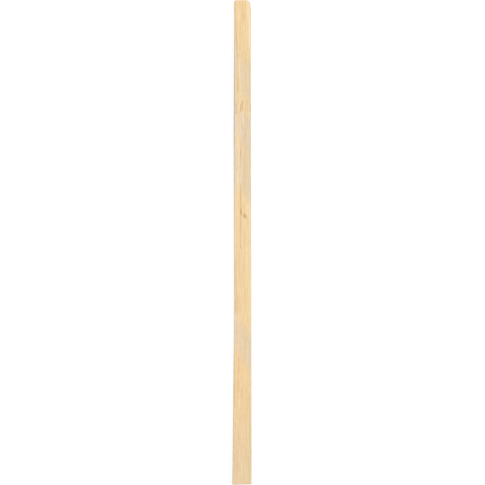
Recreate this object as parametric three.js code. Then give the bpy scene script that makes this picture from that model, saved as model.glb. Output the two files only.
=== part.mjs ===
// A wooden drink stirrer: one strip of birch veneer, stamped to shape in one piece.
// It lies on a table as it would come to rest, a little warped, as thin veneer dries.
//
// Millimetres, +Z up. X runs across the blade and Y along it, from the foot at -Y,
// which is cut square, to the tip at +Y, whose corners are rounded.
// The origin is on the table, under the middle of the blade's bounding box.
import * as THREE from "three";

// The blank, before it is warped.
const bladeLength = 178;
const bladeWidth = 6;
const bladeThickness = 1.3;
const longEdgeEase = 0.18; // radius that tumbling leaves along the long edges
const endEdgeEase = 0.1; // the same round the face of each end

// The tip: a flat end with stamped corners. Its right side draws in, and its left side spreads.
const tipCornerRadius = 1.1;
const tipDrawDepth = 0.5;
const tipDrawLength = 4.6;
const tipSpread = 0.2;
const tipSpreadLength = 12;

// The foot: cut square, a little askew, and spread on the left, where the strip widens.
const footCornerRadius = 0.2;
const footSkew = 0.15; // how much further the left corner reaches than the right one
const footSkewLength = 30;
const footSpread = 0.3;
const footSpreadLength = 50;

// The left side also draws in to a shallow waist between its foot and the middle.
const waistDepth = 0.13;
const waistFromFoot = 62;
const waistLength = 80;

// The warp. Both ends curl up from a stretch that lies flat on the table,
// and towards the tip the left side lifts, while the right one stays down and straight.
const footCurlHeight = 1;
const footCurlLength = 45;
const tipCurlHeight = 1.2;
const tipCurlLength = 70;
const rollDegrees = 8;
const rollFromTip = 42;
const rollLength = 84;

// How finely the curved surface is cut into flat facets.
const stationSpacing = 2.5;
const cornerSteps = 8;
const easeSteps = 2;

// How far an outline is taken in at a distance from an end that is rounded to a radius.
function takenIn(fromEnd, radius) {
  const inside = Math.max(radius - fromEnd, 0);
  return radius - Math.sqrt(radius * radius - inside * inside);
}

// 1 in the middle of a stretch of this length and 0 outside it, without a kink.
function swell(fromMiddle, length) {
  const share = Math.min(Math.abs(fromMiddle) / (length / 2), 1);
  return 0.5 + 0.5 * Math.cos(Math.PI * share);
}

// 1 at an end and 0 from this length on, along a parabola.
function fade(fromEnd, length) {
  return Math.max(1 - fromEnd / length, 0) ** 2;
}

// The places along the blank, as distances from the foot, where a cross-section is set:
// evenly spaced between the corners, and by even steps of arc round them.
function stationsAlong() {
  const roundCorner = (step, radius) =>
    radius * (1 - Math.cos((step / cornerSteps) * (Math.PI / 2)));
  const between = bladeLength - footCornerRadius - tipCornerRadius;
  const count = Math.ceil(between / stationSpacing);
  const places = [];
  for (let step = 0; step < cornerSteps; step += 1) {
    places.push(roundCorner(step, footCornerRadius));
  }
  for (let step = 0; step <= count; step += 1) {
    places.push(footCornerRadius + (step / count) * between);
  }
  for (let step = cornerSteps - 1; step >= 0; step -= 1) {
    places.push(bladeLength - roundCorner(step, tipCornerRadius));
  }
  return places;
}

// The blank's two sides, seen from above, at a distance from the foot.
function sidesAt(fromFoot) {
  const fromTip = bladeLength - fromFoot;
  const corner = takenIn(fromTip, tipCornerRadius) + takenIn(fromFoot, footCornerRadius);
  const spread =
    footSpread * fade(fromFoot, footSpreadLength) + tipSpread * fade(fromTip, tipSpreadLength);
  const waist = waistDepth * swell(fromFoot - waistFromFoot, waistLength);
  const draw = tipDrawDepth * fade(fromTip, tipDrawLength);
  return {
    left: -bladeWidth / 2 - spread + waist + corner,
    right: bladeWidth / 2 - draw - corner,
  };
}

// The warp at a distance from the foot: the underside's height, its lean along the blade
// and its roll across it, both in radians.
function warpAt(fromFoot) {
  const fromTip = bladeLength - fromFoot;
  const rise =
    footCurlHeight * fade(fromFoot, footCurlLength) + tipCurlHeight * fade(fromTip, tipCurlLength);
  const footSlope = (2 * footCurlHeight * Math.max(1 - fromFoot / footCurlLength, 0)) / footCurlLength;
  const tipSlope = (2 * tipCurlHeight * Math.max(1 - fromTip / tipCurlLength, 0)) / tipCurlLength;
  const lean = Math.atan(tipSlope - footSlope);
  const roll = THREE.MathUtils.degToRad(rollDegrees) * swell(fromTip - rollFromTip, rollLength);
  return { rise, lean, roll };
}

// The blank's cross-section: a rectangle with eased corners, standing on the middle of its base.
function crossSection() {
  const half = bladeWidth / 2;
  const ease = longEdgeEase;
  const top = bladeThickness;
  const section = new THREE.Shape();
  section.moveTo(-half + ease, 0);
  section.absarc(half - ease, ease, ease, -Math.PI / 2, 0);
  section.absarc(half - ease, top - ease, ease, 0, Math.PI / 2);
  section.absarc(-half + ease, top - ease, ease, Math.PI / 2, Math.PI);
  section.absarc(-half + ease, ease, ease, Math.PI, 1.5 * Math.PI);
  return section;
}

// The straight blank, extruded with one step for each station, then cut to its outline and warped.
function makeBlade() {
  const stations = stationsAlong();
  const last = stations.length - 1;
  const geometry = new THREE.ExtrudeGeometry(crossSection(), {
    depth: last,
    steps: last,
    curveSegments: easeSteps,
    bevelEnabled: false,
  });
  const points = geometry.getAttribute("position");
  for (let i = 0; i < points.count; i += 1) {
    const across = points.getX(i);
    const height = points.getY(i);
    // The extrusion's far end is laid at the foot, which keeps the faces pointing out.
    const fromFoot = stations[last - Math.round(points.getZ(i))];
    const { left, right } = sidesAt(fromFoot);
    const { rise, lean, roll } = warpAt(fromFoot);
    const pressed = takenIn(Math.min(fromFoot, bladeLength - fromFoot), endEdgeEase);

    const x = across < 0 ? left + across + bladeWidth / 2 : right + across - bladeWidth / 2;
    const z = height < bladeThickness / 2 ? height + pressed : height - pressed;
    const skew = ((footSkew * (right - x)) / (right - left)) * fade(fromFoot, footSkewLength);

    // The roll keeps the lower right edge on the table and the upper one in line.
    const rolledX = right + (x - right) * Math.cos(roll) + (z - bladeThickness) * Math.sin(roll);
    const rolledZ = (right - x) * Math.sin(roll) + z * Math.cos(roll);
    const leanedY = fromFoot - skew - rolledZ * Math.sin(lean);
    points.setXYZ(i, rolledX, leanedY, rise + rolledZ * Math.cos(lean));
  }
  geometry.computeBoundingBox();
  const box = geometry.boundingBox;
  const middle = box.getCenter(new THREE.Vector3());
  geometry.translate(-middle.x, -middle.y, -box.min.z);
  geometry.computeVertexNormals();
  return geometry;
}

const birch = new THREE.MeshStandardMaterial({ color: 0xf0d4a6, roughness: 0.6, metalness: 0 });

const blade = new THREE.Mesh(makeBlade(), birch);
blade.name = "stirrer_blade";

const stirrer = new THREE.Group();
stirrer.add(blade);

export default stirrer;
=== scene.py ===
import math
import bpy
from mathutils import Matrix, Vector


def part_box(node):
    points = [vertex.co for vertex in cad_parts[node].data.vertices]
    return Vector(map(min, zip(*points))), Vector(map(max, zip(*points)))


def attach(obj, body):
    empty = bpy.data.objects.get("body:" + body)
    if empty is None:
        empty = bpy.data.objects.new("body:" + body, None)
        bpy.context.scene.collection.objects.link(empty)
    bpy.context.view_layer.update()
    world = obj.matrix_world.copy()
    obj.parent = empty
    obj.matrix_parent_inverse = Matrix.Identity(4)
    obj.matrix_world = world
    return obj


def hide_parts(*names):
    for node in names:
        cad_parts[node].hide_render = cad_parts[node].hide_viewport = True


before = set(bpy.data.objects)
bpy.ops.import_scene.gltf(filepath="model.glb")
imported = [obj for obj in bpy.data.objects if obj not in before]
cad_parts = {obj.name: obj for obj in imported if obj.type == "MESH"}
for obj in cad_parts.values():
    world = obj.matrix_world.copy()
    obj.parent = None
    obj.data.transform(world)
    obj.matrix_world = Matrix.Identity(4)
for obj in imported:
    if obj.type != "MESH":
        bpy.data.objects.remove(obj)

from types import SimpleNamespace

import bmesh
import bpy

mm = 0.001
low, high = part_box("stirrer_blade")
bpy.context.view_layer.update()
print("frame loaded, blade box in mm", [round(side / mm, 2) for side in high - low])


# Edit mode helpers

def beginEdit():
    bpy.ops.object.mode_set(mode="EDIT")
    bpy.ops.mesh.select_mode(type="VERT")


def endEdit():
    bpy.ops.object.mode_set(mode="OBJECT")


# Selects the vertices, edges or faces that pass a test, and nothing else.
def pick(kind, test):
    bpy.ops.mesh.select_mode(type={"verts": "VERT", "edges": "EDGE", "faces": "FACE"}[kind])
    bpy.ops.mesh.select_all(action="DESELECT")
    data = bpy.context.edit_object.data
    mesh = bmesh.from_edit_mesh(data)
    for item in getattr(mesh, kind):
        if test(item):
            item.select_set(True)
    bmesh.update_edit_mesh(data)


# Cuts everything with a plane square to one axis, at each of the places given.
def cutAcross(axis, places):
    square = [float(axis == each) for each in range(3)]
    for place in places:
        bpy.ops.mesh.select_all(action="SELECT")
        bpy.ops.mesh.bisect(plane_co=[place * each for each in square], plane_no=square)


# The places that part a stretch into even steps, without its two ends
def evenly(start, stop, step):
    count = math.ceil((stop - start) / step)
    return [start + (stop - start) * each / count for each in range(1, count)]


# The blade: stamped flat, then pulled out of true as thin veneer dries

blank = {
    "length": 178 * mm,
    "width": 6 * mm,
    "thickness": 1.3 * mm,
    "tipCornerRadius": 1.1 * mm,
    "tipCornerSegments": 12,
    "footCornerRadius": 0.2 * mm,
    "footCornerSegments": 4,
    "edgeEase": 0.17 * mm,
    "edgeSegments": 4,
    "stepAlong": 0.5 * mm,
    "stepAcross": 0.13 * mm,
    "stepThrough": 0.16 * mm,
}

shape = {
    "footSpread": 0.3 * mm,
    "footSpreadLength": 50 * mm,
    "footSkew": 0.15 * mm,
    "waistDepth": 0.13 * mm,
    "waistFromFoot": 62 * mm,
    "waistReach": 40 * mm,
    "tipSpread": 0.2 * mm,
    "tipSpreadLength": 12 * mm,
    "tipDraw": 0.5 * mm,
    "tipDrawLength": 4.6 * mm,
    "rollDegrees": 8,
    "rollFromTip": 42 * mm,
    "footCurl": 1.0 * mm,
    "footCurlLength": 45 * mm,
    "tipCurl": 1.2 * mm,
    "tipCurlLength": 70 * mm,
}

tipEnd = high.y
footEnd = tipEnd - blank["length"]
rightSide = high.x
leftSide = rightSide - blank["width"]

# How level an edge has to be to count as one of the rims, and how near to a station a point counts
level = 0.001 * mm
nearStation = blank["stepAlong"] * 0.6


def makeBlank():
    bpy.ops.object.select_all(action="DESELECT")
    bpy.ops.mesh.primitive_plane_add(size=1)
    made = bpy.context.active_object
    made.name = "blade"
    beginEdit()
    bpy.ops.transform.resize(value=(blank["width"], blank["length"], 1))
    bpy.ops.transform.translate(value=((leftSide + rightSide) / 2, (footEnd + tipEnd) / 2, 0))
    middle = (footEnd + tipEnd) / 2
    pick("verts", lambda vert: vert.co.y > middle)
    bpy.ops.mesh.bevel(offset=blank["tipCornerRadius"], segments=blank["tipCornerSegments"],
                       affect="VERTICES")
    pick("verts", lambda vert: vert.co.y < middle)
    bpy.ops.mesh.bevel(offset=blank["footCornerRadius"], segments=blank["footCornerSegments"],
                       affect="VERTICES")
    bpy.ops.mesh.select_all(action="SELECT")
    bpy.ops.mesh.extrude_region_move(
        TRANSFORM_OT_translate={"value": (0, 0, blank["thickness"])})
    bpy.ops.mesh.select_all(action="SELECT")
    bpy.ops.mesh.normals_make_consistent(inside=False)
    pick("edges", lambda edge: abs(edge.verts[0].co.z - edge.verts[1].co.z) < level)
    bpy.ops.mesh.bevel(offset=blank["edgeEase"], segments=blank["edgeSegments"], affect="EDGES")
    cutAcross(1, evenly(footEnd, tipEnd, blank["stepAlong"]))
    cutAcross(0, evenly(leftSide, rightSide, blank["stepAcross"]))
    cutAcross(2, evenly(0, blank["thickness"], blank["stepThrough"]))
    endEdit()
    return made


# Selects the vertices at a station along the blade.
def pickStation(station):
    pick("verts", lambda vert: abs(vert.co.y - station) < nearStation)


# Stretches the blade across, hinged on one side, most at one station and less away from it.
def stretchAcross(station, share, hinge, falloff, reach):
    pickStation(station)
    bpy.ops.transform.resize(
        value=(share, 1, 1), center_override=(hinge, station, 0),
        use_proportional_edit=True, proportional_edit_falloff=falloff, proportional_size=reach)


def curlEnd(station, height, reach):
    pickStation(station)
    bpy.ops.transform.translate(
        value=(0, 0, height),
        use_proportional_edit=True, proportional_edit_falloff="SHARP", proportional_size=reach)


def warp(made):
    bpy.context.view_layer.objects.active = made
    beginEdit()
    width = blank["width"]
    stretchAcross(footEnd, 1 + shape["footSpread"] / width, rightSide,
                  "SHARP", shape["footSpreadLength"])
    stretchAcross(footEnd + shape["waistFromFoot"], 1 - shape["waistDepth"] / width, rightSide,
                  "SMOOTH", shape["waistReach"])
    stretchAcross(tipEnd, 1 + shape["tipSpread"] / width, rightSide,
                  "SHARP", shape["tipSpreadLength"])
    stretchAcross(tipEnd, 1 - shape["tipDraw"] / width, leftSide,
                  "SHARP", shape["tipDrawLength"])
    pick("verts", lambda vert: vert.co.y < footEnd + blank["footCornerRadius"]
         and vert.co.x < leftSide + blank["footCornerRadius"])
    bpy.ops.transform.translate(
        value=(0, -shape["footSkew"], 0), use_proportional_edit=True,
        proportional_edit_falloff="LINEAR", proportional_size=width)
    # With no window, rotate turns the other way, so the left side rises with a minus sign.
    station = tipEnd - shape["rollFromTip"]
    pickStation(station)
    bpy.ops.transform.rotate(
        value=-math.radians(shape["rollDegrees"]), orient_axis="Y",
        center_override=(rightSide, station, blank["thickness"]),
        use_proportional_edit=True, proportional_edit_falloff="SMOOTH",
        proportional_size=shape["rollFromTip"])
    curlEnd(footEnd, shape["footCurl"], shape["footCurlLength"])
    curlEnd(tipEnd, shape["tipCurl"], shape["tipCurlLength"])
    endEdit()


# Fine relief: a cloudy texture pushes the surface in and out, stretched along the grain.
# The size of its cells and its strength are in millimetres.
relief = {
    "grain": {"cell": (0.25, 9.0, 0.25), "strength": 0.022},
    "waves": {"cell": (3.0, 14.0, 3.0), "strength": 0.05},
    "fuzz": {"cell": (0.12, 0.5, 0.12), "strength": 0.01},
}


def displace(made, name, cell, strength, direction, group):
    texture = bpy.data.textures.new(name, "CLOUDS")
    texture.noise_scale = 1.0
    texture.noise_depth = 2
    bpy.ops.object.empty_add()
    space = bpy.context.active_object
    space.scale = [each * mm for each in cell]
    bpy.context.view_layer.update()
    bpy.ops.object.select_all(action="DESELECT")
    made.select_set(True)
    bpy.context.view_layer.objects.active = made
    push = made.modifiers.new(name, "DISPLACE")
    push.texture = texture
    push.texture_coords = "OBJECT"
    push.texture_coords_object = space
    push.direction = direction
    push.vertex_group = group
    push.mid_level = 0.5
    push.strength = strength * mm
    bpy.ops.object.modifier_apply(modifier=name)
    bpy.data.objects.remove(space)


def roughen(made):
    for name, values in relief.items():
        displace(made, name, values["cell"], values["strength"], "NORMAL", "")


# The stamp leaves the fibres' ends a little uneven, which shows from close by.
tornEnds = {"cell": (0.3, 3.0, 0.25), "strength": 0.09, "depth": 0.4}


def tearEnds(made):
    bpy.context.view_layer.objects.active = made
    ends = made.vertex_groups.new(name="ends")
    depth = tornEnds["depth"] * mm
    beginEdit()
    pick("verts", lambda vert: vert.co.y > tipEnd - depth or vert.co.y < footEnd + depth)
    bpy.ops.object.vertex_group_assign()
    endEdit()
    displace(made, "tornEnds", tornEnds["cell"], tornEnds["strength"], "Y", ends.name)
    made.vertex_groups.clear()


blade = makeBlank()
warp(blade)
roughen(blade)
tearEnds(blade)
bpy.ops.object.shade_smooth()
print("blade modelled", len(blade.data.polygons), "faces")


# Shader helpers: a Wire is a value on its way through the nodes, and a Recipe is one set of nodes

class Wire:
    def __init__(self, recipe, socket):
        self.recipe = recipe
        self.socket = socket

    def maths(self, operation, first, second=0.0):
        return self.recipe.node("ShaderNodeMath", {"operation": operation}, {0: first, 1: second})

    def __add__(self, other):
        return self.maths("ADD", self, other)

    def __sub__(self, other):
        return self.maths("SUBTRACT", self, other)

    def __rsub__(self, other):
        return self.maths("SUBTRACT", other, self)

    def __mul__(self, other):
        return self.maths("MULTIPLY", self, other)

    def __truediv__(self, other):
        return self.maths("DIVIDE", self, other)

    def __abs__(self):
        return self.maths("ABSOLUTE", self)

    __radd__ = __add__
    __rmul__ = __mul__


class Recipe:
    def __init__(self, tree):
        self.nodes = tree.nodes
        self.links = tree.links
        self.nodes.clear()

    # Adds one node: its settings, then the values or wires of its sockets. A ramp's are its stops.
    def node(self, kind, settings=None, inputs=None, output=0):
        made = self.nodes.new(kind)
        for name, value in (settings or {}).items():
            if name == "stops":
                self.setStops(made.color_ramp, value)
            else:
                setattr(made, name, value)
        for name, value in (inputs or {}).items():
            if isinstance(value, Wire):
                self.links.new(value.socket, made.inputs[name])
            else:
                made.inputs[name].default_value = value
        return None if output is None else Wire(self, made.outputs[output])

    def setStops(self, ramp, stops):
        ramp.interpolation = "EASE"
        while len(ramp.elements) < len(stops):
            ramp.elements.new(0.5)
        for element, (position, colour) in zip(ramp.elements, stops):
            element.position = position
            element.color = colour

    # 0 up to one value and 1 from another on, smoothly. The first may be the larger. It is left
    # unclamped because it stays between 0 and 1 anyway, and Cycles works such a clamp out so late
    # that many of them fill its store of numbers in use, which turns a material black.
    def smooth(self, value, start, stop):
        return self.node("ShaderNodeMapRange", {"interpolation_type": "SMOOTHSTEP", "clamp": False},
                         {"Value": value, "From Min": start, "From Max": stop})

    def clamp(self, value):
        return self.node("ShaderNodeClamp", {}, {"Value": value})

    def vector(self, x, y, z):
        return self.node("ShaderNodeCombineXYZ", {}, {0: x, 1: y, 2: z})

    def mix(self, factor, first, second):
        return self.node("ShaderNodeMix", {"data_type": "RGBA"}, {0: factor, 6: first, 7: second}, 2)

    def noise(self, place, detail):
        return self.node("ShaderNodeTexNoise", {},
                         {"Vector": place, "Scale": 1.0, "Detail": detail, "Roughness": 0.5})


def newMaterial(name):
    material = bpy.data.materials.new(name)
    material.use_nodes = True
    return material


# A small sum with its own name: numbers go in, and one number comes out.
def makeStencil(name, inputs, draw):
    tree = bpy.data.node_groups.new(name, "ShaderNodeTree")
    for each in inputs:
        tree.interface.new_socket(each, in_out="INPUT", socket_type="NodeSocketFloat")
    tree.interface.new_socket("Mask", in_out="OUTPUT", socket_type="NodeSocketFloat")
    look = Recipe(tree)
    start = look.node("NodeGroupInput")
    wires = [Wire(look, start.socket.node.outputs[each]) for each in inputs]
    look.node("NodeGroupOutput", {}, {"Mask": draw(look, *wires)}, None)
    return tree


# A colour as it looks on the screen, 0 to 255, made linear for a shader
def seen(red, green, blue):
    parts = [each / 255 for each in (red, green, blue)]
    linear = [each / 12.92 if each < 0.04045 else ((each + 0.055) / 1.055) ** 2.4 for each in parts]
    return (*linear, 1.0)


# The birch: its colours first, and then its marks
birch = {
    "tip": seen(244, 211, 158),
    "shoulder": seen(239, 211, 165),
    "middle": seen(246, 215, 167),
    "belly": seen(244, 209, 158),
    "foot": seen(233, 204, 163),
    "yellow": seen(244, 219, 166),
    "tan": seen(228, 203, 152),
    "orange": seen(214, 168, 108),
    "pith": seen(196, 142, 82),
    "pale": seen(255, 234, 194),
    # The two greys are the colours of the painted sheen.
    "grey": seen(233, 211, 189),
    "greyRight": seen(220, 202, 178),
    "knot": seen(124, 90, 50),
    # The side colour is painted greyer and darker than the wood, as shade on the sides; the layer
    # colour marks the veneer's layers.
    "side": seen(212, 200, 180),
    "sideLayer": seen(182, 162, 134),
    "end": seen(226, 214, 192),
    "endPore": seen(126, 100, 68),
    # Painted shade for the left edge
    "leftEdgeShade": seen(195, 193, 191),
}

# Streaks and flecks on the top face, in millimetres: across and along from the blade's middle, half
# the length, half the width, how far it leans across per millimetre along, and depth from 0 to 1
orangeLines = {
    "edgeStreakAtTip": (-2.45, 84, 5.5, 0.4, -0.025, 0.3),
    "edgeStreak": (-2.05, 73.5, 9, 0.45, -0.05, 0.7),
    "edgeStreakFading": (-1.65, 63, 6, 0.35, -0.015, 0.35),
    "edgeStreakAgain": (-1.55, 55, 4, 0.5, 0.005, 0.6),
    "tipRight": (0.3, 84, 5.5, 0.3, -0.005, 0.45),
    "tipLeft": (-0.4, 84, 5.5, 0.3, -0.005, 0.2),
    "tipFleck": (0.85, 82.5, 1.2, 0.3, -0.02, 0.45),
    "tipInner": (-0.8, 79, 3, 0.35, -0.015, 0.3),
    "tipGolden": (-0.8, 72.5, 5, 0.7, 0, 0.3),
    "tipRightLower": (0.8, 73, 3, 0.3, 0, 0.35),
    "shoulderFirst": (0.45, 65, 5, 0.2, -0.01, 0.3),
    "shoulderSecond": (1.1, 64.5, 5, 0.2, 0, 0.3),
    "shoulderThird": (1.65, 66, 5, 0.2, 0, 0.3),
    "shoulderFourth": (2.35, 63, 6, 0.2, 0, 0.3),
    "underFlecks": (-0.3, 39.5, 3.5, 0.25, 0, 0.4),
    "underFlecksLeft": (-1.0, 42.5, 3, 0.3, 0, 0.6),
    "underFlecksEdge": (-1.6, 42, 3.5, 0.5, 0, 0.3),
    "spine": (-0.4, 30.5, 4.5, 0.35, 0.005, 0.65),
    "spineFading": (-0.45, 23.5, 4, 0.3, 0, 0.3),
    "aboveKnot": (-0.5, 13, 6.5, 0.4, -0.005, 0.5),
    "belowKnot": (-0.5, -1, 8, 0.4, 0.005, 0.5),
    "betweenKnots": (0.5, 7, 2.5, 0.3, 0, 0.35),
    "besideKnot": (0.8, -4, 6, 0.3, 0, 0.4),
    "besideInner": (0.5, -14.5, 3, 0.25, 0, 0.35),
    "bellyInner": (-0.75, -3, 7, 0.2, 0, 0.35),
    "bellyMiddle": (-1.35, -2, 9, 0.2, 0, 0.35),
    "bellyOuter": (-1.9, 2, 9.5, 0.25, 0, 0.4),
    "bellyEdge": (-1.9, -10, 4.5, 0.35, 0, 0.3),
    "leftBroad": (-2.1, -18.5, 9, 0.4, -0.005, 0.55),
    "leftThin": (-1.2, -15.5, 6, 0.2, 0, 0.3),
    "leftInner": (-1.6, -22.5, 4, 0.25, 0, 0.45),
    "leftFar": (-0.55, -20, 3, 0.25, 0, 0.2),
    "leftEdge": (-2.25, -27.5, 2.5, 0.35, 0, 0.55),
    "leftDark": (-1.65, -28, 3.5, 0.35, -0.005, 0.65),
    "leftFaint": (-1.9, -35.5, 2.5, 0.3, 0, 0.3),
    "innerFaint": (-0.85, -13, 7.5, 0.3, 0, 0.35),
    "rightFaint": (0.9, -17, 9, 0.25, 0, 0.3),
    "rightShort": (1.0, -24, 3, 0.25, 0, 0.3),
    "lowerLeft": (-1.15, -48.5, 4, 0.35, 0, 0.35),
    "lowerThin": (-1.3, -53, 5, 0.2, 0, 0.4),
    "lowerSlanting": (-1.35, -57, 4.5, 0.35, -0.015, 0.35),
    "lowerMiddle": (-0.15, -58.5, 2.5, 0.3, 0, 0.5),
    "edgeLower": (-2.5, -51, 9.5, 0.3, 0, 0.4),
    "footSpot": (-2.15, -69, 1, 0.35, 0, 0.4),
    "footFaint": (-1.45, -81.5, 5, 0.35, -0.005, 0.3),
}

pithFlecks = {
    "farLeft": (-2.05, 45.5, 2.5, 0.35, 0.005, 0.45),
    "farLeftShort": (-2.3, 47.5, 1.5, 0.25, -0.015, 0.35),
    "middleLeft": (-0.55, 46, 2, 0.3, 0.01, 0.6),
    "middleRight": (0.05, 47, 2.5, 0.3, -0.01, 0.65),
    "middleTop": (0.45, 48.5, 1.3, 0.25, -0.015, 0.25),
    "leftTop": (-1.35, 48, 1.3, 0.2, -0.015, 0.3),
    "right": (1.0, 45.5, 0.9, 0.2, 0, 0.3),
    "rightTop": (1.75, 48, 0.9, 0.2, 0, 0.3),
    "rightFar": (2.25, 49, 1.1, 0.2, -0.02, 0.3),
    "rimUpper": (2.9, 47, 0.9, 0.25, -0.02, 0.7),
    "rimLower": (3.0, 45.5, 0.7, 0.25, -0.03, 0.6),
    "leftEdge": (-2.5, -59, 5, 0.25, 0.005, 0.35),
}

# The same for the underside, where the knife left lathe checks: short fine cracks along the fibres
undersideLines = {
    "heart": (0.6, 38, 26, 0.6, 0.006, 0.45),
    "heartBeside": (1.3, 30, 14, 0.3, 0.004, 0.4),
    "left": (-1.7, -8, 22, 0.45, -0.004, 0.45),
    "leftInner": (-1.0, -30, 12, 0.25, 0, 0.35),
    "foot": (0.9, -62, 16, 0.4, 0.005, 0.4),
    "footEdge": (2.2, -74, 9, 0.3, 0, 0.35),
    "tip": (-0.9, 74, 11, 0.35, -0.006, 0.4),
}
undersideChecks = {
    "tip": (-0.2, 82, 4.5, 0.07, 0.004, 0.9),
    "shoulder": (1.6, 58, 3.2, 0.06, 0, 0.8),
    "middle": (-1.2, 16, 4.0, 0.07, -0.004, 0.85),
    "middleShort": (0.4, 11, 2.2, 0.06, 0, 0.7),
    "belly": (1.9, -19, 3.6, 0.06, 0.003, 0.8),
    "lower": (-0.5, -47, 4.2, 0.07, 0, 0.85),
    "foot": (-1.6, -80, 5.0, 0.08, 0.004, 0.9),
}

paleLines = {
    "tip": (-1.2, 77, 10.5, 0.4, 0, 0.5),
    "tipLower": (-0.9, 62, 5.5, 0.35, -0.005, 0.4),
    # Painted highlight: these two pale lines light up the right rim and the tip's rim, where the
    # lamp falls.
    "rightRimHighlight": (2.45, 78.5, 10, 0.65, 0, 0.5),
    "tipRimHighlight": (1.9, 86, 4, 0.7, 0, 0.45),
    "underFlecks": (0.25, 41.5, 2.5, 0.5, -0.01, 0.5),
    "leftOfSpine": (-1.1, 29.5, 7.5, 0.35, 0, 0.4),
    "leftOfKnots": (-1.4, 18.5, 5, 0.6, 0, 0.35),
    "besideKnots": (0.4, 6.7, 1.7, 0.4, -0.035, 0.6),
    "aboveKnots": (1.5, 10.5, 1.6, 0.6, 0, 0.4),
    "belly": (-1.6, 0, 10, 0.22, 0, 0.4),
    "bellyInner": (-1.05, -2, 8, 0.22, 0, 0.35),
    "left": (-1.4, -18, 8, 0.22, 0, 0.4),
    "dot": (-0.25, -8, 0.4, 0.25, 0, 0.7),
    "bandLeft": (-0.05, -43, 4, 0.3, 0, 0.35),
    "bandRight": (1.8, -44, 5, 0.25, 0, 0.35),
    "underBand": (-1.5, -46.5, 2.5, 0.35, 0, 0.4),
    "lower": (-0.85, -61, 4, 0.3, 0, 0.5),
    "footSpot": (-1.6, -68.5, 0.9, 0.4, 0, 0.35),
    "footUpper": (0.8, -72.5, 4, 0.3, 0, 0.35),
    "footMiddle": (-0.75, -79.5, 3, 0.25, 0, 0.4),
    "footLower": (-0.1, -84.5, 3, 0.3, 0, 0.4),
}

# Pin knots: across, along, half the width, half the length, lean; then the depths of heart and ring
pinKnots = {
    "left": ((-0.4, 6.7, 0.2, 1.15, 0.0), 0.42, 0.45),
    "right": ((0.9, 5.2, 0.38, 0.75, -0.2), 0.15, 0.36),
    "smear": ((1.5, 10.3, 0.2, 0.45, 0.0), 0.0, 0.15),
}

# Painted sheen: silvery patches of painted reflection where the fibres dip and catch the light. Left
# and right ends, upper and lower edge at the middle, how far each of the two falls per millimetre to
# the right, their softness, and depth
paintedSheenPatches = {
    "shoulder": (-0.6, 3.4, 64.5, 51, 0.3, 0, 3, 0.65),
    "shoulderEdge": (-2.6, -0.8, 69, 61, 0, 0, 2.5, 0.4),
    "flecked": (0.8, 3.4, 54, 45, 0, 0, 2, 0.35),
    "upperFull": (-3.4, 3.4, 44.5, 35, 0.7, 0.6, 2.5, 0.75),
    "upperRight": (-0.4, 3.4, 43.5, 33.5, 0.7, 3.5, 2, 0.8),
    "warmBand": (-0.4, 3.4, 34, 26, 0.7, 2.2, 3, 0.3),
    "middleLeft": (-3.4, -0.6, 31, 17, 0, 0, 3.5, 0.8),
    "middleRight": (-0.4, 3.4, 28.5, 14, 3, 1.4, 2.5, 0.75),
    "lowerBand": (-3.4, 3.4, -34, -46, 1.5, 1.5, 3.5, 0.7),
}


# The middle share of a line's length that is at full depth, and how softly a patch's sides end
lineFull = 0.55
patchSideSoftness = 0.3


def drawLine(look, x, y, across, along, halfLength, halfWidth, lean, depth):
    fromMiddle = y - along
    aside = abs(x - across - fromMiddle * lean)
    return (look.smooth(aside, halfWidth, 0.0)
            * look.smooth(abs(fromMiddle), halfLength, halfLength * lineFull) * depth)


# How far a place is from a knot, as a share of the knot's own size
def measureKnot(look, x, y, across, along, halfWidth, halfLength, lean):
    ahead = y - along
    aside = (x - across - ahead * lean) / halfWidth
    return look.node("ShaderNodeVectorMath", {"operation": "LENGTH"},
                     {0: look.vector(aside, ahead / halfLength, 0.0)}, "Value")


def drawPatch(look, x, y, left, right, upper, lower, upperFall, lowerFall, soft, depth):
    return (look.smooth(y + x * upperFall, upper + soft, upper - soft)
            * look.smooth(y + x * lowerFall, lower - soft, lower + soft)
            * look.smooth(x, left - patchSideSoftness, left + patchSideSoftness)
            * look.smooth(x, right + patchSideSoftness, right - patchSideSoftness) * depth)


lineStencil = makeStencil(
    "line", ("x", "y", "across", "along", "halfLength", "halfWidth", "lean", "depth"), drawLine)
knotStencil = makeStencil(
    "knot", ("x", "y", "across", "along", "halfWidth", "halfLength", "lean"), measureKnot)
patchStencil = makeStencil(
    "patch", ("x", "y", "left", "right", "upper", "lower", "upperFall", "lowerFall", "soft",
              "depth"), drawPatch)


def stamp(look, stencil, x, y, mark):
    return look.node("ShaderNodeGroup", {"node_tree": stencil}, dict(enumerate((x, y, *mark))))


# Adds up one stencil over a dictionary of marks, one at a time, so that few are in use at once.
def drawAll(look, stencil, x, y, marks):
    return sum(stamp(look, stencil, x, y, mark) for mark in marks.values())


# Layers of fibres: how fast each one changes across and along, a number that sets it apart, detail
fibreLayers = {
    "broad": (1.1, 0.02, 0.0, 2.0),
    "middling": (3.2, 0.06, 11.0, 2.0),
    "fine": (9.0, 0.2, 23.0, 3.0),
    "hair": (22.0, 0.6, 37.0, 2.0),
    "specks": (5.0, 1.6, 67.0, 2.0),
    "poreRows": (16.0, 0.9, 51.0, 1.0),
}

# How strongly each layer warms and lightens the wood. Lively is added on the livelier stretch.
warmth = {"broad": 0.1, "middling": 0.16, "fine": 0.15, "lively": 0.15, "hair": 0.08,
          "specks": 0.12, "pores": 0.4}
lightness = {"middling": 0.3, "fine": 0.3, "lively": 0.15, "specks": 0.2}

# Where a knot's stain, ring and heart fade out and are full, as shares of its size
knotZones = {"stain": (2.4, 1.0), "ring": (1.25, 0.8), "heart": (0.95, 0.35)}

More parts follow.
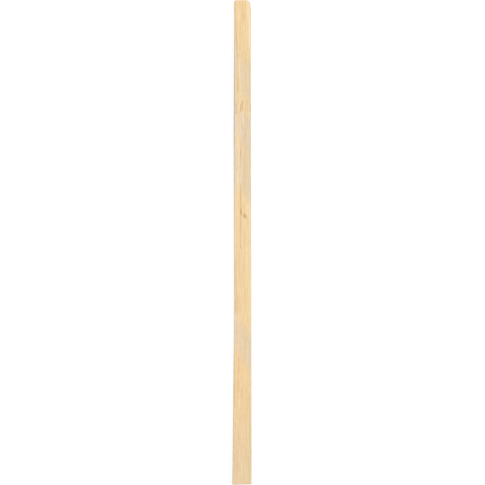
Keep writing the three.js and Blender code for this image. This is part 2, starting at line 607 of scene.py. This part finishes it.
# How rough and glossy the surface is, and how high or deep each kind of detail stands in the bump
finish = {"roughness": 0.6, "sheenSmoother": 0.12, "poresRougher": 0.1, "endRougher": 0.2,
          "sideRougher": 0.1, "gloss": 0.3, "bumpStrength": 0.5, "bumpDistance": 0.03 * mm}
heights = {"fine": 0.9, "hair": 0.5, "pores": 0.8, "middling": 0.8, "vessels": 1.5, "knots": 1.2,
           "layers": 1.5, "checks": 4.0}


# Where a point of the blade is, in millimetres, and which way it faces
def findPlace(look):
    place = look.node("ShaderNodeTexCoord", output="Object")
    facing = look.node("ShaderNodeTexCoord", output="Normal")
    x, y, z = [look.node("ShaderNodeSeparateXYZ", {}, {0: place}, axis) / mm for axis in range(3)]
    faceX, faceY, faceZ = [look.node("ShaderNodeSeparateXYZ", {}, {0: facing}, axis)
                           for axis in range(3)]
    return SimpleNamespace(
        x=x, y=y, z=z, faceX=faceX, faceZ=faceZ,
        onTop=look.smooth(faceZ, 0.45, 0.8),
        onUnderside=look.smooth(faceZ, -0.45, -0.8),
        onEnd=look.smooth(abs(faceY), 0.5, 0.8),
        onSide=look.smooth(abs(faceX), 0.45, 0.85),
        wander=look.noise(look.vector(x * 0.15, y * 0.05, 3.0), 1.0) - 0.5)


# Everything that follows the fibres is drawn on coordinates that wander a little.
def growFibres(look, at):
    grainX = at.x + at.wander * 0.5
    layers = {}
    for name, (across, along, seed, detail) in fibreLayers.items():
        place = look.vector(grainX * across + seed, at.y * along, at.z * across * 0.5)
        layers[name] = look.noise(place, detail)
    grain = SimpleNamespace(**layers)
    grain.pores = look.smooth(grain.poreRows, 0.64, 0.74)
    return grain


# The ground colour changes along the blade. Towards the right it turns yellower, and near the foot
# tanner.
def paintGround(look, at):
    length = blank["length"] / mm
    ground = look.node("ShaderNodeValToRGB", {"stops": (
        (0.0, birch["foot"]), (0.2, birch["belly"]), (0.5, birch["middle"]),
        (0.8, birch["shoulder"]), (1.0, birch["tip"]))}, {0: (at.y + length / 2) / length})
    tint = look.mix(look.smooth(at.y, -45.0, -65.0), birch["yellow"], birch["tan"])
    return look.mix(look.smooth(at.x, 0.2, 2.8) * 0.55, ground, tint)


# The patches of painted sheen, and painted shade: a darker, tanner stretch on the right that crosses
# the upper ones
def paintSheen(look, at, grain, colour):
    patches = drawAll(look, patchStencil, at.x + at.wander * 2, at.y, paintedSheenPatches)
    paintedSheen = look.clamp(patches) * at.onTop
    ripple = look.smooth(grain.middling, 0.25, 0.6)
    sheenTone = look.mix(look.smooth(at.x, -1.2, 0.8), birch["grey"], birch["greyRight"])
    # Painted sheen: the patches turn the wood grey, as its reflection of the light would.
    colour = look.mix(paintedSheen * (0.55 + ripple * 0.45), colour, sheenTone)
    # Painted shade: the right of the upper stretch is painted darker and tanner.
    paintedShadeRight = (look.smooth(at.x, 0.6, 3.0) * look.smooth(at.y, 14.0, 30.0)
              * look.smooth(at.y, 70.0, 60.0))
    return look.mix(paintedShadeRight * 0.25, colour, birch["tan"]), paintedSheen


# Streaks and grain. The grain is livelier above the lowest patch of painted sheen than from there to
# the foot.
def paintStreaks(look, at, grain, colour):
    lively = look.smooth(at.y, -40.0, -28.0)
    drawn = (0.35 + look.smooth(grain.fine, 0.3, 0.62) * 0.6
             + look.smooth(grain.specks, 0.35, 0.6) * 0.35)
    orange = look.clamp(
        drawAll(look, lineStencil, at.x, at.y, orangeLines) * drawn * at.onTop
        + drawAll(look, lineStencil, at.x, at.y, undersideLines) * drawn * at.onUnderside
        + look.smooth(grain.middling, 0.52, 0.2) * warmth["middling"]
        + look.smooth(grain.broad, 0.5, 0.25) * warmth["broad"]
        + look.smooth(grain.fine, 0.5, 0.25) * (warmth["fine"] + lively * warmth["lively"])
        + look.smooth(grain.hair, 0.5, 0.3) * warmth["hair"]
        + look.smooth(grain.specks, 0.5, 0.3) * warmth["specks"]
        + grain.pores * warmth["pores"])
    colour = look.mix(orange, colour, birch["orange"])
    pale = look.clamp(
        drawAll(look, lineStencil, at.x, at.y, paleLines) * drawn * at.onTop
        + look.smooth(grain.middling, 0.5, 0.75) * lightness["middling"]
        + look.smooth(grain.fine, 0.5, 0.66) * (lightness["fine"] + lively * lightness["lively"])
        + look.smooth(grain.specks, 0.5, 0.7) * lightness["specks"])
    colour = look.mix(pale, colour, birch["pale"])
    pith = look.clamp(drawAll(look, lineStencil, at.x, at.y, pithFlecks) * drawn * at.onTop)
    return look.mix(pith, colour, birch["pith"])


def paintKnots(look, at, grain, colour):
    ragged = (grain.specks - 0.5) * 0.8 + (grain.fine - 0.5) * 1.2
    knots = 0.0
    for knot, heart, ring in pinKnots.values():
        away = stamp(look, knotStencil, at.x, at.y, knot) + ragged
        stain = look.smooth(away, *knotZones["stain"]) * ring * at.onTop
        colour = look.mix(stain, colour, birch["orange"])
        rim = look.smooth(away, *knotZones["ring"]) * ring * at.onTop
        colour = look.mix(rim, colour, birch["pith"])
        core = look.smooth(away, *knotZones["heart"]) * heart * at.onTop
        colour = look.mix(core, colour, birch["knot"])
        knots = knots + core
    return colour, knots


def paintChecks(look, at, grain, colour):
    ragged = at.x + (grain.specks - 0.5) * 0.15
    checks = look.clamp(drawAll(look, lineStencil, ragged, at.y, undersideChecks) * at.onUnderside)
    return look.mix(checks, colour, birch["pith"]), checks


# The stamped sides are painted greyer and darker than the wood, as shade on them, and show the
# veneer's layers.
def paintSides(look, at, colour):
    layers = look.noise(look.vector(at.x * 0.4, at.y * 0.08, at.z * 7.0), 3.0)
    sideShadeAndLayers = look.mix(look.smooth(layers, 0.4, 0.7) * 0.6, birch["side"], birch["sideLayer"])
    return look.mix(at.onSide, colour, sideShadeAndLayers), layers


# Painted shade: the left edge is painted grey as shade, most between its middle and the tip and
# where it is eased.
def paintLeftEdgeShade(look, at, colour):
    along = (look.smooth(at.y, 82.0, 66.0)
             * (look.smooth(at.y, -38.0, -25.0) * 0.4 + look.smooth(at.y, 0.0, 9.0) * 0.6))
    across = look.smooth(at.faceX, -0.1, -0.4) * (0.3 + look.smooth(at.faceZ, 0.2, 0.5) * 0.5)
    # The painted shade also reaches onto the top face along the left rim.
    rim = look.smooth(at.x, -2.1, -2.9) * at.onTop * 0.25
    return look.mix(look.clamp((across + rim) * along), colour, birch["leftEdgeShade"])


# The two ends show end grain: vessels as dots, and growth rings as bands.
def paintEnds(look, at, colour):
    vessels = look.smooth(look.node("ShaderNodeTexVoronoi", {}, {
        "Vector": look.vector(at.x, 0.0, at.z), "Scale": 10.0}, "Distance"), 0.34, 0.1)
    rings = look.smooth(look.noise(look.vector(at.x * 0.25, 0.0, at.z * 6.0), 2.0), 0.45, 0.65)
    dark = look.clamp(vessels * 0.3 + rings * 0.2)
    endColour = look.mix(dark, birch["end"], birch["endPore"])
    return look.mix(at.onEnd, colour, endColour), vessels


def makeBirch():
    material = newMaterial("birchVeneer")
    look = Recipe(material.node_tree)
    at = findPlace(look)
    grain = growFibres(look, at)
    colour = paintGround(look, at)
    colour, paintedSheen = paintSheen(look, at, grain, colour)
    colour = paintStreaks(look, at, grain, colour)
    colour, knots = paintKnots(look, at, grain, colour)
    colour, checks = paintChecks(look, at, grain, colour)
    colour, layers = paintSides(look, at, colour)
    colour = paintLeftEdgeShade(look, at, colour)
    colour, vessels = paintEnds(look, at, colour)
    rough = (finish["roughness"] - paintedSheen * finish["sheenSmoother"]
             + grain.pores * finish["poresRougher"] + at.onEnd * finish["endRougher"]
             + at.onSide * finish["sideRougher"])
    height = (grain.fine * heights["fine"] + grain.hair * heights["hair"]
              - grain.pores * heights["pores"] + grain.middling * heights["middling"]
              - vessels * at.onEnd * heights["vessels"] - knots * heights["knots"]
              + layers * at.onSide * heights["layers"] - checks * heights["checks"])
    bumped = look.node("ShaderNodeBump", {}, {
        "Strength": finish["bumpStrength"], "Distance": finish["bumpDistance"], "Height": height})
    skin = look.node("ShaderNodeBsdfPrincipled", {}, {
        "Base Color": colour, "Roughness": rough, "Normal": bumped,
        "Specular IOR Level": finish["gloss"]})
    look.node("ShaderNodeOutputMaterial", {}, {"Surface": skin}, None)
    print("birch material made", len(look.nodes), "nodes")
    return material


blade.data.materials.append(makeBirch())

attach(blade, "root")
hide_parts("stirrer_blade")


# The floor: plain white paper that the camera sees as white wherever the light reaches it. It lies
# just under the blade's fine relief.

floorLook = {"size": 3.0, "drop": 0.02 * mm, "colour": 0.75, "glow": 1.08, "glowShare": 0.85}

bpy.ops.mesh.primitive_plane_add(size=floorLook["size"], location=(0, 0, -floorLook["drop"]))
floor = bpy.context.active_object
floor.name = "floor"


# 1 for what the camera sees, straight or in a gloss, and 0 for light on its way to the object
def seenDirectly(look):
    return look.clamp(sum(look.node("ShaderNodeLightPath", output=name) for name in (
        "Is Camera Ray", "Is Glossy Ray", "Is Transmission Ray")))


def makeFloorPaper():
    material = newMaterial("floorPaper")
    look = Recipe(material.node_tree)
    colour = (floorLook["colour"],) * 3 + (1.0,)
    paper = look.node("ShaderNodeBsdfDiffuse", {}, {"Color": colour})
    glow = look.node("ShaderNodeEmission", {}, {"Strength": floorLook["glow"]})
    surface = look.node("ShaderNodeMixShader", {}, {
        0: seenDirectly(look) * floorLook["glowShare"], 1: paper, 2: glow})
    look.node("ShaderNodeOutputMaterial", {}, {"Surface": surface}, None)
    return material


floor.data.materials.append(makeFloorPaper())
print("floor laid")


# Light: an even sky, and one broad soft lamp from the right, so far off that it is even too

light = {
    "sky": 0.6,
    "skySeen": 1.0,
    "lampPower": 1.5,
    "lampSpread": 30,
    "lampPlace": (0.4, -0.22, 0.6),
}


def makeSky():
    world = bpy.data.worlds.new("sky")
    world.use_nodes = True
    look = Recipe(world.node_tree)
    white = (1, 1, 1, 1)
    lighting = look.node("ShaderNodeBackground", {}, {"Color": white, "Strength": light["sky"]})
    backdrop = look.node("ShaderNodeBackground", {}, {"Color": white, "Strength": light["skySeen"]})
    sky = look.node("ShaderNodeMixShader", {}, {0: seenDirectly(look), 1: lighting, 2: backdrop})
    look.node("ShaderNodeOutputWorld", {}, {"Surface": sky}, None)
    return world


def placeLamp():
    bpy.ops.object.light_add(type="SUN", location=light["lampPlace"])
    lamp = bpy.context.active_object
    lamp.data.angle = math.radians(light["lampSpread"])
    lamp.data.energy = light["lampPower"]
    lamp.rotation_euler = (-lamp.location).to_track_quat("-Z", "Y").to_euler()


bpy.context.scene.world = makeSky()
placeLamp()
print("sky and lamp set")


# The camera looks down on the blade from the foot's side. Tilt and turn are in degrees.

view = {
    "tilt": 20,
    "turn": 0.028,
    "distance": 560 * mm,
    "aim": (0.148 * mm, -4.387 * mm, 0.65 * mm),
    "lens": 120.13,
    "sensor": 36,
    "clipStart": 10 * mm,
}


def placeCamera():
    tilt, turn = math.radians(view["tilt"]), math.radians(view["turn"])
    aimX, aimY, aimZ = view["aim"]
    back = view["distance"] * math.sin(tilt)
    bpy.ops.object.camera_add(
        location=(aimX + back * math.sin(turn), aimY - back * math.cos(turn),
                  aimZ + view["distance"] * math.cos(tilt)),
        rotation=(tilt, 0, turn))
    camera = bpy.context.active_object
    camera.data.lens = view["lens"]
    camera.data.sensor_width = view["sensor"]
    camera.data.clip_start = view["clipStart"]
    return camera


bpy.context.scene.camera = placeCamera()
bpy.context.scene.view_settings.view_transform = "Standard"
print("camera placed")
